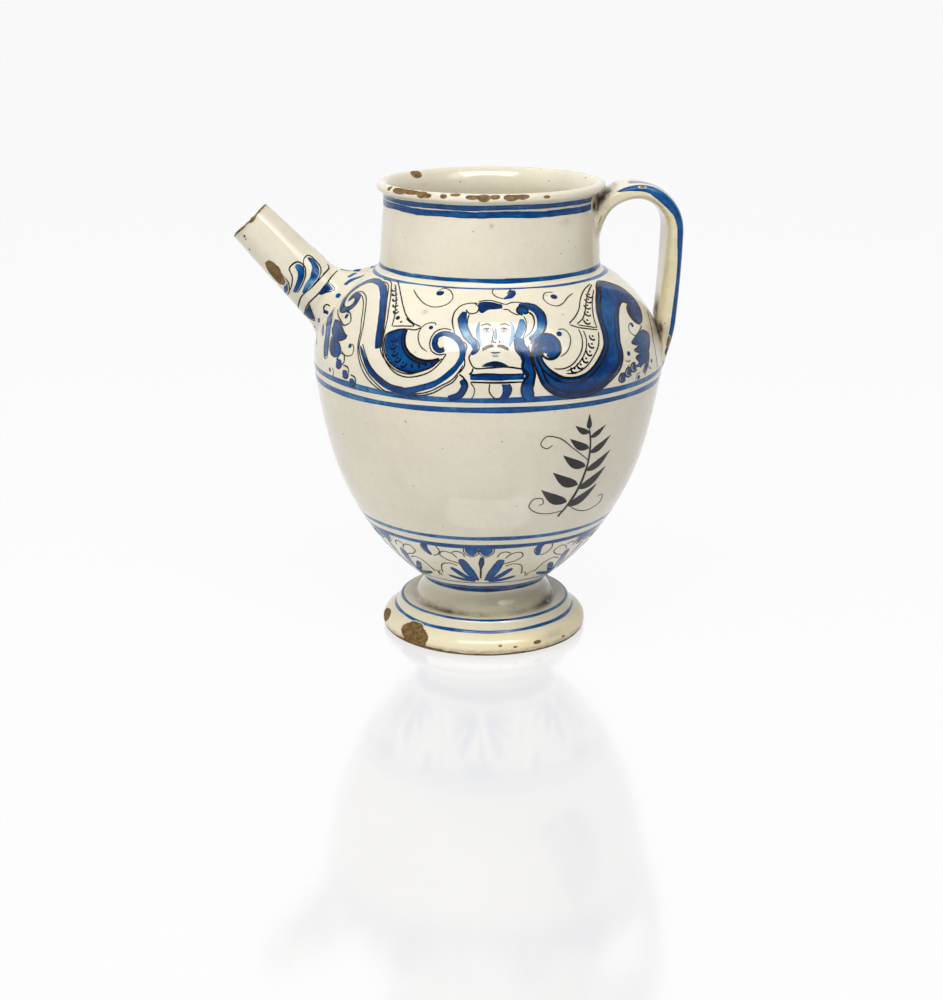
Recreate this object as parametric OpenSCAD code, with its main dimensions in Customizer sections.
// Wet drug jar: an earthenware syrup jar with a pouring spout and a strap handle.
// The jar is thrown and luted together from separate pieces of clay.
// Millimetres, +Z up, spout towards -X, handle towards +X.
// The origin is the centre of the ring that the foot stands on.

/* [Bowl] */
// Widest diameter of the bowl
belly_d = 152; // [136:1:180]
// Height of the widest point above the floor
belly_z = 126; // [112:1:134]
// Diameter of the lower flank
flank_d = 134; // [112:1:140]
// Height of the lower flank above the floor
flank_z = 78; // [66:1:90]
// Slope of the lower flank, from the horizontal
flank_slope = 71; // [60:1:80]
// Slope of the wall where it leaves the waist, from the horizontal
waist_slope = 36; // [30:1:55]
// Slope of the shoulder where it meets the neck, from the horizontal
shoulder_slope = 23; // [12:1:32]
// Thickness of the bowl's wall
bowl_wall = 5; // [3:0.5:7]
// Thickness of the wall at the bowl's floor
bowl_floor = 8; // [6:0.5:10]

/* [Neck] */
// Height of the shoulder's top, where the neck is luted on
seat_z = 163; // [152:1:172]
// Height of the lip above the floor
rim_z = 200; // [190:1:225]
// Diameter of the neck at the shoulder
neck_base_d = 95; // [84:1:110]
// Diameter of the neck under the lip
neck_top_d = 91.5; // [82:0.5:100]
// How far the lip stands out past the neck
lip_flare = 2.9; // [2:0.1:6]
// Height of the flared lip
lip_h = 7; // [5:0.5:12]
// Height of the lip's rounded edge
lip_edge = 2.4; // [1.5:0.1:3]
// Thickness of the neck's wall
neck_wall = 4.5; // [3:0.5:6]

/* [Foot] */
// Height of the waist, where the bowl is luted to the foot
waist_z = 24; // [20:1:32]
// Diameter of the waist
waist_d = 54.6; // [46:0.2:60]
// Diameter of the groove below the stem
groove_d = 61.4; // [60.2:0.2:66]
// Diameter of the ledge outside the groove
ledge_d = 73; // [70:0.5:78]
// Height of the ledge above the floor
ledge_z = 14; // [11:0.5:16]
// Widest diameter of the foot
foot_d = 91.4; // [86:0.2:110]
// Height of the foot's widest point above the floor
foot_edge_z = 3.2; // [2:0.2:5]
// Width of the ring that the jar stands on
ring_w = 8; // [5:0.5:10]
// Diameter of the hollow at its top, under the bowl
hollow_d = 30; // [20:1:40]

/* [Spout] */
// Height at which the spout's axis meets the bowl
spout_z = 145.5; // [138:0.5:152]
// Rise of the spout, from the horizontal
spout_rise = 45.5; // [35:0.5:55]
// Turn of the spout away from the point opposite the handle
spout_turn = -3; // [-10:1:10]
// Length of the spout from the bowl to its tip
spout_len = 51; // [44:1:70]
// Diameter of the spout's tip
spout_tip_d = 19.4; // [17:0.2:24]
// Diameter of the spout at the bowl
spout_root_d = 25; // [22:0.5:30]
// Diameter of the spout's bore
spout_bore_d = 10.6; // [9:0.2:13]
// Length of the spout's bore
spout_bore_len = 40; // [30:1:42]
// Diameter of the hole pierced through the bowl into the spout
pierce_d = 8.4; // [6:0.2:9]
// Length of the clay collar along the spout
collar_len = 7; // [5:0.5:14]
// Width of the clay collar where it meets the bowl
collar_w = 3.5; // [2:0.5:7]

/* [Handle] */
// Width of the strap
strap_w = 30; // [20:1:34]
// Thickness of the strap at the neck
strap_t = 6.6; // [4.5:0.1:8]
// Thickness of the strap at its lower end
strap_low_t = 8.2; // [5:0.1:9]
// How far the strap stands out past the belly
handle_stand = 5.5; // [3:0.5:12]
// How far the top of the handle lies below the lip
handle_dip = 0.5; // [0:0.1:6]
// How far the crook's centre line sinks into the neck
crook_embed = 2.1; // [0.5:0.1:3]
// Turn of the crook from its outermost point to the upper pad
crook_turn = 150; // [140:1:155]
// Turn of the crook's inside that the upper pad fills
pad_turn = 50; // [40:1:60]
// Width of the upper pad
pad_w = 32; // [20:1:36]
// Height of the upper pad's lower tip above the shoulder
pad_rise = 6; // [4:0.5:10]
// Height of the strap's lower end above the widest point
tail_rise = 13; // [10:0.5:16]
// Depth of the tail's tip below the widest point
tail_drop = 13; // [8:0.5:20]
// Width of the tail
tail_w = 31; // [20:1:36]
// How far the tail's tip stands proud of the bowl
tail_proud = 1.6; // [1:0.1:3]
// Thickness of the wad of clay between the tail and the bowl
tail_wad = 4; // [3:0.5:6]

/* [Luting] */
// Thickness of the layers of slip
slip_t = 0.8; // [0.5:0.1:1.5]
// Size of the bead of slip around the neck
slip_bead = 2.2; // [1:0.1:3]

/* [Hidden] */
$fn = 96;
// Facets of a full turn of the long drop curve
arc_fn = 1440;

// Steps of each curve of an outline
steps = 10;
// Steps of a small curve of an outline
few = 5;
// How far a cutting or buried shape runs past the face that it meets
over = 20;

belly_r = belly_d / 2;
flank_r = flank_d / 2;
waist_r = waist_d / 2;
seat_r = neck_base_d / 2;
neck_top_r = neck_top_d / 2;
rim_r = neck_top_r + lip_flare;
lip_z = rim_z - lip_h;
mouth_r = seat_r - neck_wall;
neck_z = seat_z + slip_t;
foot_r = foot_d / 2;
foot_top_z = waist_z - slip_t;
hollow_r = hollow_d / 2;
spout_tip_r = spout_tip_d / 2;
spout_root_r = spout_root_d / 2;

// Outer face of the strap at its outermost, and its centre line
strap_reach = belly_r + handle_stand;
strap_mid_t = (strap_t + strap_low_t) / 2;
strap_line = strap_reach - strap_mid_t / 2;
// The crook is a half ring between the leaning neck and the strap's outermost line
neck_lean = (neck_top_r - seat_r) / (lip_z - neck_z);
function neck_radius(z) = seat_r + neck_lean * (z - neck_z);
crook_top_z = rim_z - handle_dip - strap_t / 2;
crook_r = (strap_line - neck_radius(crook_top_z) + crook_embed) / (2 - neck_lean);
crook_x = strap_line - crook_r;
crook_z = crook_top_z - crook_r;
crook_in = crook_r - strap_t / 2;
crook_out = crook_r + strap_t / 2;
pad_z = min(seat_z + pad_rise, crook_z);
strap_end_z = belly_z + tail_rise;
tail_tip_z = belly_z - tail_drop;

// Cubic curve through its end points, drawn towards its two middle points
function bezier(p, t) =
    pow(1 - t, 3) * p[0] + 3 * pow(1 - t, 2) * t * p[1] + 3 * (1 - t) * t * t * p[2] + pow(t, 3) * p[3];
function curve(p, n) = [for (i = [0 : n]) bezier(p, i / n)];
function tail_of(list) = [for (i = [1 : len(list) - 1]) list[i]];
function reversed(list) = [for (i = [len(list) - 1 : -1 : 0]) list[i]];
function ray(angle) = [cos(angle), sin(angle)];

// Outline of the bowl, from the waist over the flank and the belly to the neck
waist_p = [waist_r, waist_z];
flank_p = [flank_r, flank_z];
belly_p = [belly_r, belly_z];
seat_p = [seat_r, seat_z];
low_pull = norm(flank_p - waist_p) / 3;
mid_pull = norm(belly_p - flank_p) / 4;
top_pull = norm(seat_p - belly_p);
low_curve = curve([waist_p, waist_p + low_pull * ray(waist_slope), flank_p - low_pull * ray(flank_slope),
                   flank_p], steps);
mid_curve = curve([flank_p, flank_p + mid_pull * ray(flank_slope), belly_p - [0, mid_pull], belly_p], steps);
top_curve = curve([belly_p, belly_p + [0, 0.22 * top_pull],
                   seat_p + 0.41 * top_pull * [cos(shoulder_slope), -sin(shoulder_slope)], seat_p], steps);
bowl_outer = concat(low_curve, tail_of(mid_curve), tail_of(top_curve));
bowl_last = len(bowl_outer) - 1;

// Radius of the bowl's outside at a height
bowl_heights = [for (p = bowl_outer) [p[1], p[0]]];
function bowl_radius(z) = lookup(z, bowl_heights);

// The inside lies one wall thickness in from the outside, thicker towards the floor
function along(i) = bowl_outer[min(i + 1, bowl_last)] - bowl_outer[max(i - 1, 0)];
function inward(i) = [-along(i)[1], along(i)[0]] / norm(along(i));
function wall_at(i) = bowl_wall + (bowl_floor - bowl_wall) * max(0, 1 - i / steps);
bowl_inner = [for (i = [0 : bowl_last]) bowl_outer[i] + wall_at(i) * inward(i)];
brink = bowl_inner[bowl_last];
brink_z = brink[1] + (brink[0] - mouth_r) * tan(shoulder_slope);

// Where the spout's axis meets the bowl, and the drop curve of the strap
spout_x = -bowl_radius(spout_z);
drop_in = strap_reach - bowl_radius(tail_tip_z) - tail_proud;
drop_down = crook_z - tail_tip_z;
drop_r = (pow(drop_in, 2) + pow(drop_down, 2)) / (2 * drop_in) - strap_mid_t / 2;
drop_x = strap_line - drop_r;
function drop_angle(z) = asin((crook_z - z) / drop_r);

// Solids that the fixed pieces are cut to
module bowl_filled() {
    rotate_extrude() polygon(concat(bowl_outer, [[0, seat_z], [0, waist_z]]));
}

lip_under = curve([[neck_top_r, lip_z], [neck_top_r, lip_z + lip_h / 2], [rim_r, rim_z - lip_edge - lip_h / 4],
                   [rim_r, rim_z - lip_edge]], few);
lip_top = curve([[rim_r, rim_z - lip_edge], [rim_r, rim_z - lip_edge / 4], [rim_r - lip_edge / 2, rim_z],
                 [rim_r - lip_edge, rim_z]], few);
neck_outer = concat([[seat_r, neck_z]], lip_under, tail_of(lip_top));

module neck_filled() {
    rotate_extrude() polygon(concat(neck_outer, [[0, rim_z], [0, neck_z]]));
}

module bead_filled() {
    bead_z = neck_z + slip_bead;
    toe_r = seat_r + slip_bead;
    bead = curve([[neck_radius(bead_z), bead_z], [seat_r, neck_z], [seat_r + slip_bead / 4, seat_z],
                  [toe_r, seat_z - slip_bead * tan(shoulder_slope)]], few);
    rotate_extrude() polygon(concat([[mouth_r, neck_z], [seat_r, neck_z]], bead,
        [[toe_r, seat_z - over], [mouth_r, seat_z - over]]));
}

// Places a shape that is built along +Z on the spout's axis, starting at the bowl's surface
module on_spout() {
    rotate([0, 0, spout_turn]) translate([spout_x, 0, spout_z]) rotate([0, spout_rise - 90, 0]) children();
}

spout_taper = (spout_root_r - spout_tip_r) / spout_len;

module spout_filled() {
    on_spout() translate([0, 0, -over])
        cylinder(r1 = spout_root_r + over * spout_taper, r2 = spout_tip_r, h = spout_len + over);
}

// Thrown bowl, closed below and pierced for the spout
module bowl() {
    color("ivory") difference() {
        rotate_extrude() polygon(concat(bowl_outer, [[mouth_r, seat_z], [mouth_r, brink_z]],
            reversed(bowl_inner), [[0, bowl_inner[0][1]], [0, waist_z]]));
        on_spout() translate([0, 0, -over]) cylinder(d = pierce_d, h = 2 * over);
    }
}

// Thrown neck with its flared lip
module neck() {
    in_r = neck_top_r - neck_wall;
    lip_in = curve([[rim_r - lip_edge, rim_z], [rim_r - 2 * lip_edge, rim_z], [in_r, lip_z + lip_h / 3],
                    [in_r, lip_z - lip_h / 3]], steps);
    color("ivory") rotate_extrude() polygon(concat(neck_outer, tail_of(lip_in), [[mouth_r, neck_z]]));
}

// Thrown pedestal foot, hollow underneath
module foot() {
    groove_r = groove_d / 2;
    ledge_r = ledge_d / 2;
    ring_r = foot_r - foot_edge_z / 3;
    hollow_low_r = ring_r - ring_w;
    stem_h = foot_top_z - ledge_z;
    edge_h = ledge_z - foot_edge_z;
    stem = curve([[waist_r, foot_top_z], [waist_r, foot_top_z - stem_h / 2], [groove_r, foot_top_z - stem_h / 2],
                  [groove_r, ledge_z]], few);
    step_p = [ledge_r + (foot_r - ledge_r) * 0.4, ledge_z - edge_h * 0.4];
    shelf = curve([[ledge_r, ledge_z], [ledge_r + edge_h * 0.15, ledge_z], [step_p[0] - edge_h * 0.12, step_p[1] +
                   edge_h * 0.18], step_p], few);
    skirt = curve([step_p, [step_p[0] + edge_h * 0.12, step_p[1] - edge_h * 0.18],
                   [foot_r, foot_edge_z + edge_h * 0.35], [foot_r, foot_edge_z]], few);
    toe = curve([[foot_r, foot_edge_z], [foot_r, foot_edge_z / 2], [foot_r - foot_edge_z / 6, 0], [ring_r, 0]], few);
    hollow = curve([[hollow_low_r, 0], [hollow_low_r, foot_top_z * 0.4], [hollow_r, foot_top_z * 0.4],
                    [hollow_r, foot_top_z]], steps);
    color("ivory") rotate_extrude()
        polygon(concat(stem, shelf, tail_of(skirt), tail_of(toe), hollow));
}

// Rolled tube with its bore, butted on the bowl around the pierced hole
module spout() {
    color("ivory") difference() {
        spout_filled();
        on_spout() translate([0, 0, spout_len - spout_bore_len]) cylinder(d = spout_bore_d, h = spout_bore_len + over);
        on_spout() translate([0, 0, -over]) cylinder(d = pierce_d, h = spout_len + over);
        bowl_filled();
    }
}

// Clay pressed around the spout where it meets the bowl
module spout_collar() {
    flare_r = spout_root_r + collar_w;
    // The bowl curves away from the spout's axis by this much under the collar's edge
    fall = pow(flare_r, 2) / belly_d;
    flare = curve([[spout_root_r - collar_len * spout_taper, collar_len], [spout_root_r, collar_len / 4],
                   [spout_root_r + collar_w / 4, -fall / 2], [flare_r, -fall]], steps);
    color("linen") difference() {
        on_spout() rotate_extrude() polygon(concat(flare, [[flare_r, -over], [0, -over], [0, collar_len]]));
        spout_filled();
        bowl_filled();
    }
}

// The strap is swept through rings of points: around the crook, then down the drop
strap_sides = 20;
crook_rings = 15;
drop_rings = 7;
strap_rings = crook_rings + drop_rings;
// Power that flattens the oval section
oval_flat = 0.45;
function rounded(v) = sign(v) * pow(abs(v), oval_flat);
function strap_thickness(i) = strap_t + (strap_low_t - strap_t) * i / strap_rings;
function strap_ring(i) =
    let (on_crook = i <= crook_rings,
         angle = on_crook ? crook_turn * (1 - i / crook_rings)
                          : -drop_angle(strap_end_z) * (i - crook_rings) / drop_rings,
         x = on_crook ? crook_x : drop_x,
         r = on_crook ? crook_r : drop_r)
    [for (k = [0 : strap_sides - 1])
        let (a = 360 * k / strap_sides, out = r + strap_thickness(i) / 2 * rounded(cos(a)))
        [x + out * cos(angle), strap_w / 2 * rounded(sin(a)), crook_z + out * sin(angle)]];
strap_points = [for (i = [0 : strap_rings]) each strap_ring(i)];
function strap_index(i, k) = i * strap_sides + k % strap_sides;
strap_faces = concat(
    [[for (k = [0 : strap_sides - 1]) strap_index(0, k)]],
    [for (i = [0 : strap_rings - 1], k = [0 : strap_sides - 1], half = [0, 1])
        half == 0 ? [strap_index(i, k + 1), strap_index(i, k), strap_index(i + 1, k)]
                  : [strap_index(i, k + 1), strap_index(i + 1, k), strap_index(i + 1, k + 1)]],
    [[for (k = [strap_sides - 1 : -1 : 0]) strap_index(strap_rings, k)]]);

// Pulled strap: the crook at the neck and the long drop to the belly
module handle_strap() {
    color("ivory") difference() {
        polyhedron(points = strap_points, faces = strap_faces);
        neck_filled();
        bowl_filled();
    }
}

// Clay pressed under the crook, down the side of the neck
module handle_pad() {
    inside = [for (i = [0 : steps]) [crook_x, crook_z] + crook_in * ray(crook_turn + pad_turn * i / steps)];
    root_x = neck_radius(crook_z) - neck_wall;
    color("linen") difference() {
        rotate([90, 0, 0]) linear_extrude(height = pad_w, center = true)
            polygon(concat([[crook_x, crook_z] + crook_out * ray(crook_turn)], inside,
                [[neck_radius(pad_z), pad_z], [root_x, pad_z], [root_x, crook_z]]));
        neck_filled();
        bead_filled();
        bowl_filled();
    }
}

// Lower end of the handle, pressed down to a tongue on the belly
module handle_tail() {
    tip_r = tail_w / 2;
    wad_r = drop_r - tail_wad / 2;
    tail_from = drop_angle(tail_tip_z - over);
    color("linen") difference() {
        intersection() {
            translate([drop_x, 0, crook_z]) rotate([90, 0, 0]) rotate([0, 0, -tail_from])
                rotate_extrude(angle = tail_from - drop_angle(strap_end_z), $fn = arc_fn)
                translate([wad_r, 0]) square([strap_low_t + tail_wad, tail_w + over], center = true);
            rotate([90, 0, 90]) linear_extrude(height = 2 * strap_reach) union() {
                translate([0, tail_tip_z + tip_r]) circle(r = tip_r);
                translate([-tip_r, tail_tip_z + tip_r]) square([tail_w, strap_end_z - tail_tip_z]);
            }
        }
        bowl_filled();
    }
}

// Layer of slip under the neck, with a bead around its outside
module neck_luting() {
    color("wheat") difference() {
        bead_filled();
        bowl_filled();
    }
}

// Layer of slip between the bowl and the foot, squeezed out a little
module foot_luting() {
    bulge = curve([[waist_r, foot_top_z], [waist_r + slip_t, foot_top_z], [waist_r + slip_t, waist_z],
                   [waist_r, waist_z]], few);
    color("wheat") rotate_extrude()
        polygon(concat([[hollow_r, foot_top_z]], bulge, [[hollow_r, waist_z]]));
}

bowl();
neck();
foot();
spout();
spout_collar();
handle_strap();
handle_pad();
handle_tail();
neck_luting();
foot_luting();
